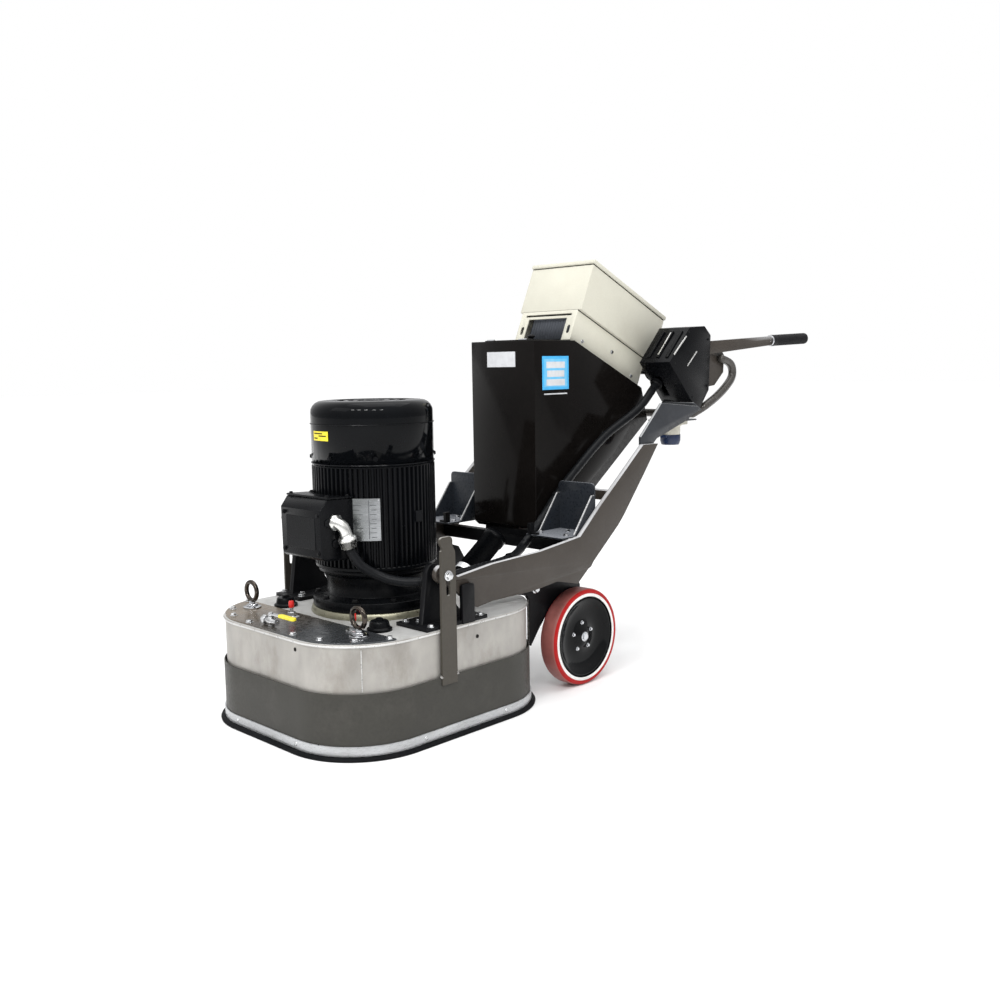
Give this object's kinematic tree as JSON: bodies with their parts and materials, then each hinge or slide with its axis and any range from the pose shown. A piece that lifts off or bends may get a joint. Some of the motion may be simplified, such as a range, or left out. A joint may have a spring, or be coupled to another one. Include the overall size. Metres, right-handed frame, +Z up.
{
  "type": "concrete grinder",
  "caption": "Walk-behind planetary concrete grinder: motor on a skirted grinding head, tilting wheeled frame with water tank, sloping drive cabinet, control box and handles.",
  "frame": {"origin": "centre of the footprint's box on the floor", "axes": "+Y from the grinding head towards the handles, +X to the operator's left, +Z up"},
  "size_m": [0.7888, 2.1982, 1.3245],
  "materials": {
    "deck_housing": "satin",
    "front_cover_plate": "satin",
    "gearbox_housing": "brushed",
    "adaptor_ring": "satin",
    "motor_adaptor": "gloss",
    "motor_body": "gloss",
    "fan_cowl": "gloss",
    "conduit_box": "gloss",
    "conduit_box_lid": "gloss",
    "conduit_elbow": "polished",
    "motor_conduit": "matte",
    "eye_bolt_left": "brushed",
    "eye_bolt_right": "brushed",
    "grease_fitting_left": "polished",
    "grease_fitting_right": "polished",
    "valve_body": "polished",
    "pivot_bracket_left": "satin",
    "pivot_bracket_right": "satin",
    "pivot_bolt_left": "polished",
    "pivot_bolt_right": "polished",
    "dust_pipe": "gloss",
    "motor_shaft": "brushed",
    "cooling_fan": "satin",
    "planet_carrier": "brushed",
    "grinding_disc_1": "rough",
    "grinding_disc_2": "rough",
    "grinding_disc_3": "rough",
    "shroud_band": "satin",
    "clamp_strip": "satin",
    "rubber_skirt": "matte",
    "side_frame_left": "satin",
    "side_frame_right": "satin",
    "frame_crossmember": "satin",
    "wheel_hanger_left": "satin",
    "wheel_hanger_right": "satin",
    "weight_bracket_left": "satin",
    "weight_bracket_right": "satin",
    "water_tank": "gloss",
    "cabinet_channel": "satin",
    "drive_cabinet": "satin",
    "heat_sink": "satin",
    "control_box": "satin",
    "neck_plate_left": "satin",
    "neck_plate_right": "satin",
    "power_inlet": "satin",
    "frame_conduit": "matte",
    "handle_frame": "satin",
    "handle_guard": "satin",
    "grip_left": "matte",
    "grip_right": "matte",
    "tyre_left": "satin",
    "wheel_hub_left": "gloss",
    "tyre_right": "satin",
    "wheel_hub_right": "gloss",
    "valve_lever": "matte",
    "tank_lid": "gloss",
    "cabinet_lid": "satin",
    "inlet_cap": "satin",
    "emergency_stop": "gloss",
    "start_button": "gloss"
  },
  "bodies": {
    "head": {"deck_housing": "deck_housing", "front_cover_plate": "front_cover_plate", "gearbox_housing": "gearbox_housing", "adaptor_ring": "adaptor_ring", "motor_adaptor": "motor_adaptor", "motor_body": "motor_body", "fan_cowl": "fan_cowl", "conduit_box": "conduit_box", "conduit_box_lid": "conduit_box_lid", "conduit_elbow": "conduit_elbow", "motor_conduit": "motor_conduit", "eye_bolt_left": "eye_bolt_left", "eye_bolt_right": "eye_bolt_right", "grease_fitting_left": "grease_fitting_left", "grease_fitting_right": "grease_fitting_right", "valve_body": "valve_body", "pivot_bracket_left": "pivot_bracket_left", "pivot_bracket_right": "pivot_bracket_right", "pivot_bolt_left": "pivot_bolt_left", "pivot_bolt_right": "pivot_bolt_right", "dust_pipe": "dust_pipe"},
    "rotor": {"motor_shaft": "motor_shaft", "cooling_fan": "cooling_fan"},
    "carrier": {"planet_carrier": "planet_carrier"},
    "disc_1": {"grinding_disc_1": "grinding_disc_1"},
    "disc_2": {"grinding_disc_2": "grinding_disc_2"},
    "disc_3": {"grinding_disc_3": "grinding_disc_3"},
    "shroud": {"shroud_band": "shroud_band", "clamp_strip": "clamp_strip", "rubber_skirt": "rubber_skirt"},
    "chassis": {"side_frame_left": "side_frame_left", "side_frame_right": "side_frame_right", "frame_crossmember": "frame_crossmember", "wheel_hanger_left": "wheel_hanger_left", "wheel_hanger_right": "wheel_hanger_right", "weight_bracket_left": "weight_bracket_left", "weight_bracket_right": "weight_bracket_right", "water_tank": "water_tank", "cabinet_channel": "cabinet_channel", "drive_cabinet": "drive_cabinet", "heat_sink": "heat_sink", "control_box": "control_box", "neck_plate_left": "neck_plate_left", "neck_plate_right": "neck_plate_right", "power_inlet": "power_inlet", "frame_conduit": "frame_conduit", "handle_frame": "handle_frame", "handle_guard": "handle_guard", "grip_left": "grip_left", "grip_right": "grip_right"},
    "wheel_left": {"tyre_left": "tyre_left", "wheel_hub_left": "wheel_hub_left"},
    "wheel_right": {"tyre_right": "tyre_right", "wheel_hub_right": "wheel_hub_right"},
    "valve_handle": {"valve_lever": "valve_lever"},
    "tank_cover": {"tank_lid": "tank_lid"},
    "cabinet_cover": {"cabinet_lid": "cabinet_lid"},
    "inlet_cover": {"inlet_cap": "inlet_cap"},
    "stop_button": {"emergency_stop": "emergency_stop"},
    "start_knob": {"start_button": "start_button"}
  },
  "joints": [
    {"name": "frame_pivot", "type": "hinge", "parent": "head", "child": "chassis", "pos_m": [0, -0.7436, 0.4425], "axis": [1, 0, 0], "range_deg": [0, 20]},
    {"name": "wheel_left_spin", "type": "hinge", "parent": "chassis", "child": "wheel_left", "pos_m": [0.2934, -0.1351, 0.15], "axis": [1, 0, 0], "continuous": true},
    {"name": "wheel_right_spin", "type": "hinge", "parent": "chassis", "child": "wheel_right", "pos_m": [-0.2934, -0.1351, 0.15], "axis": [1, 0, 0], "continuous": true},
    {"name": "shroud_float", "type": "slide", "parent": "head", "child": "shroud", "axis": [0, 0, 1], "range_m": [0, 0.04]},
    {"name": "carrier_spin", "type": "hinge", "parent": "head", "child": "carrier", "pos_m": [0, -0.6921, 0.103], "axis": [0, 0, 1], "continuous": true},
    {"name": "disc_1_spin", "type": "hinge", "parent": "carrier", "child": "disc_1", "pos_m": [0, -0.4961, 0.05], "axis": [0, 0, 1], "continuous": true},
    {"name": "disc_2_spin", "type": "hinge", "parent": "carrier", "child": "disc_2", "pos_m": [-0.16974, -0.7901, 0.05], "axis": [0, 0, 1], "continuous": true},
    {"name": "disc_3_spin", "type": "hinge", "parent": "carrier", "child": "disc_3", "pos_m": [0.16974, -0.7901, 0.05], "axis": [0, 0, 1], "continuous": true},
    {"name": "rotor_spin", "type": "hinge", "parent": "head", "child": "rotor", "pos_m": [0, -0.6921, 0.6], "axis": [0, 0, 1], "continuous": true},
    {"name": "valve_turn", "type": "hinge", "parent": "head", "child": "valve_handle", "pos_m": [-0.018, -1.0441, 0.336], "axis": [0, 0, 1], "range_deg": [0, 90]},
    {"name": "tank_lid_hinge", "type": "hinge", "parent": "chassis", "child": "tank_cover", "pos_m": [0, -0.1361, 1.0667], "axis": [1, 0, 0], "range_deg": [0, 95]},
    {"name": "cabinet_lid_hinge", "type": "hinge", "parent": "chassis", "child": "cabinet_cover", "pos_m": [-0.1385, 0.14013, 1.31127], "axis": [0, -0.9121, 0.4099], "range_deg": [0, 100]},
    {"name": "inlet_cap_hinge", "type": "hinge", "parent": "chassis", "child": "inlet_cover", "pos_m": [0.25, 0.3699, 0.7425], "axis": [-1, 0, 0], "range_deg": [0, 110]},
    {"name": "emergency_stop_press", "type": "slide", "parent": "chassis", "child": "stop_button", "axis": [0, -0.6298, -0.7767], "range_m": [0, 0.004], "stiffness_N_per_m": 400},
    {"name": "start_button_press", "type": "slide", "parent": "chassis", "child": "start_knob", "axis": [0, -0.6298, -0.7767], "range_m": [0, 0.003], "stiffness_N_per_m": 300}
  ],
  "couplings": [
    {"joint": "disc_1_spin", "follows": "carrier_spin", "ratio": -4},
    {"joint": "disc_2_spin", "follows": "carrier_spin", "ratio": -4},
    {"joint": "disc_3_spin", "follows": "carrier_spin", "ratio": -4},
    {"joint": "rotor_spin", "follows": "carrier_spin", "ratio": 6}
  ]
}
